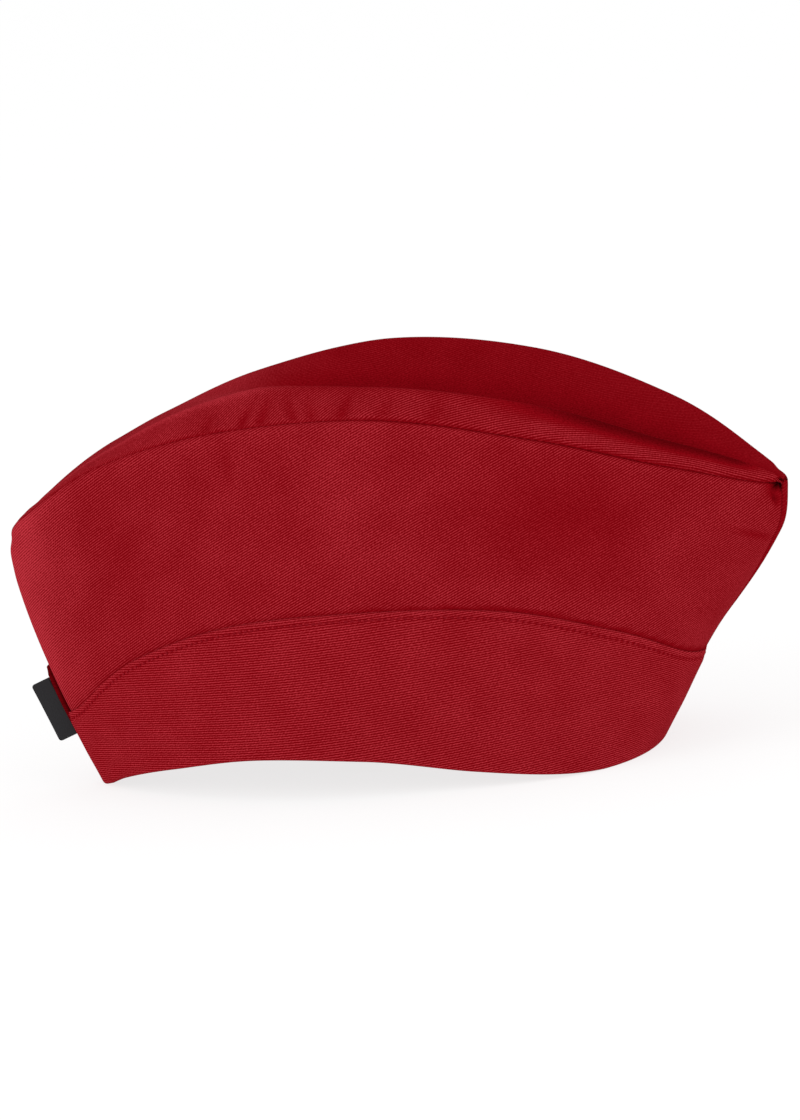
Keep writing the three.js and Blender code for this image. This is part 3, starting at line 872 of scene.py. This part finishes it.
def makeTag(name):
    look = tagLook
    stand = cuffGap + cuffLook["thickness"] + look["clear"]
    wallHeight = wallSections["seam"][0]
    z = np.array([look["low"], look["high"]], float)
    angle = np.zeros(2)
    facing = normal(wall, angle, z / wallHeight)
    facing[..., 2] = 0
    low, high = wall(angle, z / wallHeight) + unit(facing) * stand
    length = np.linalg.norm(high - low)
    outward = np.cross([0, -1, 0], unit(high - low))
    side = np.array([0, 1.0, 0])
    half = (look["thickness"] + look["gap"]) / 2
    middle = look["side"] + look["thickness"] + look["gap"] / 2
    straight = look["reach"] - half - look["thickness"] / 2
    bend = np.linspace(-math.pi / 2, math.pi / 2, look["bend"])
    run = np.linspace(0, straight, look["run"])[:-1]
    outPath = np.concatenate([run, straight + half * np.cos(bend), run[::-1]])
    sidePath = np.concatenate([0 * run - half, half * np.sin(bend), 0 * run + half])
    pathNormal = np.concatenate([np.stack([0 * run, 0 * run - 1], -1),
                                 np.stack([np.cos(bend), np.sin(bend)], -1),
                                 np.stack([0 * run, 0 * run + 1], -1)])
    steps = 0.5 - 0.5 * np.cos(np.linspace(0, math.pi, look["rows"]))
    toCut = np.clip(look["corner"] - np.minimum(steps, 1 - steps) * length, 0, look["corner"])
    short = 1 - (look["corner"] - np.sqrt(look["corner"] ** 2 - toCut ** 2)) / look["reach"]

    def layer(offset):
        out = (outPath + pathNormal[:, 0] * offset)[:, None] * short[None]
        curl = look["curl"] * np.sin(math.pi * steps)[None] * (out / look["reach"]) ** 2
        across = (sidePath + pathNormal[:, 1] * offset + middle)[:, None] + curl
        spine = low + (high - low) * steps[:, None]
        return spine[None] + outward * out[..., None] + side * across[..., None]

    outer, inner = layer(look["thickness"] / 2), layer(-look["thickness"] / 2)
    u, v = np.broadcast_arrays(steps[None] * length, lengths(outer, 0)[:, :1])
    return makePiece(name, outer, inner, turned(u, v, 0), 0.0, tape)


wovenTag = makeTag("wovenTag")


# What each piece stands for

pieces = [
    (rightPanel, "side_panel_right", "twill"),
    (leftPanel, "side_panel_left", "twill"),
    (gusset, "crown_gusset", "twill"),
    (rightCuff, "cuff_right", "twill"),
    (leftCuff, "cuff_left", "twill"),
    (wovenTag, "seam_tag", "tag"),
]
for piece, node, slot in pieces:
    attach(piece, "root")
    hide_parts(node)
for piece in (rightStitches, leftStitches):
    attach(piece, "root")

print("pieces tied to the frame")


# Floor, light and camera

floorLook = {"radius": 30.0, "corners": 64, "colour": (0.25, 0.25, 0.25, 1), "glow": 0.78, "roughness": 0.9}


def makeFloor(look):
    material, tree = newMaterial("paleFloor")
    values = {"Base Color": look["colour"], "Roughness": look["roughness"], "Specular IOR Level": 0.0,
              "Emission Color": (1, 1, 1, 1), "Emission Strength": look["glow"]}
    shader = tree.add("ShaderNodeBsdfPrincipled", {}, values)
    tree.add("ShaderNodeOutputMaterial", {}, {"Surface": shader})
    ring = [(math.cos(a) * look["radius"], math.sin(a) * look["radius"], 0)
            for a in np.linspace(0, 2 * math.pi, look["corners"] + 1)[:-1]]
    mesh = bpy.data.meshes.new("floor")
    mesh.from_pydata(ring, [], [list(range(len(ring)))])
    mesh.materials.append(material)
    floor = bpy.data.objects.new("floor", mesh)
    scene.collection.objects.link(floor)


lightLook = {
    "world": 0.86,
    "aim": (0, 0, 0.08),                        # what the boxes point at
    "boxes": {                                  # place, size and power of each soft box
        "leftBox": ((-1.9, -1.1, 0.75), 1.3, 14),
        "rightBox": ((2.0, -1.2, 0.7), 1.3, 12),
    },
}


def makeLight(look):
    world = bpy.data.worlds.new("studio")
    world.use_nodes = True
    tree = NodeTree(world.node_tree)
    values = {"Color": (1, 1, 1, 1), "Strength": look["world"]}
    background = tree.add("ShaderNodeBackground", {}, values)
    tree.add("ShaderNodeOutputWorld", {}, {"Surface": background})
    scene.world = world
    for name, (place, size, power) in look["boxes"].items():
        lamp = bpy.data.lights.new(name, "AREA")
        lamp.energy, lamp.size = power, size
        box = bpy.data.objects.new(name, lamp)
        scene.collection.objects.link(box)
        away = unit(np.array(place) - np.array(look["aim"]))
        sideways = unit(np.cross([0, 0, 1], away))
        columns = np.stack([sideways, np.cross(away, sideways), away], -1)
        box.matrix_world = Matrix.Translation(place) @ Matrix(columns.tolist()).to_4x4()


cameraLook = {
    "azimuth": 6.0, "elevation": 10.5, "roll": 6.2,     # degrees
    "target": (-0.001, 0, 0.077), "distance": 2.3956,
    "lens": 200, "sensor": 36,
}


def makeCamera(look):
    azimuth, elevation, tip = (math.radians(look[k]) for k in ("azimuth", "elevation", "roll"))
    ahead = np.array([-math.sin(azimuth) * math.cos(elevation), math.cos(azimuth) * math.cos(elevation),
                      -math.sin(elevation)])
    right = np.array([math.cos(azimuth), math.sin(azimuth), 0])
    up = np.cross(right, ahead)
    right, up = (math.cos(tip) * right - math.sin(tip) * up, math.sin(tip) * right + math.cos(tip) * up)
    lens = bpy.data.cameras.new("camera")
    lens.lens = look["lens"]
    lens.sensor_width, lens.sensor_fit = look["sensor"], "AUTO"
    camera = bpy.data.objects.new("camera", lens)
    scene.collection.objects.link(camera)
    place = np.array(look["target"]) - ahead * look["distance"]
    columns = np.stack([right, up, -ahead], -1)
    camera.matrix_world = Matrix.Translation(place) @ Matrix(columns.tolist()).to_4x4()
    scene.camera = camera


makeFloor(floorLook)
makeLight(lightLook)
makeCamera(cameraLook)
scene.view_settings.view_transform = "Standard"
print("floor, light and camera set")
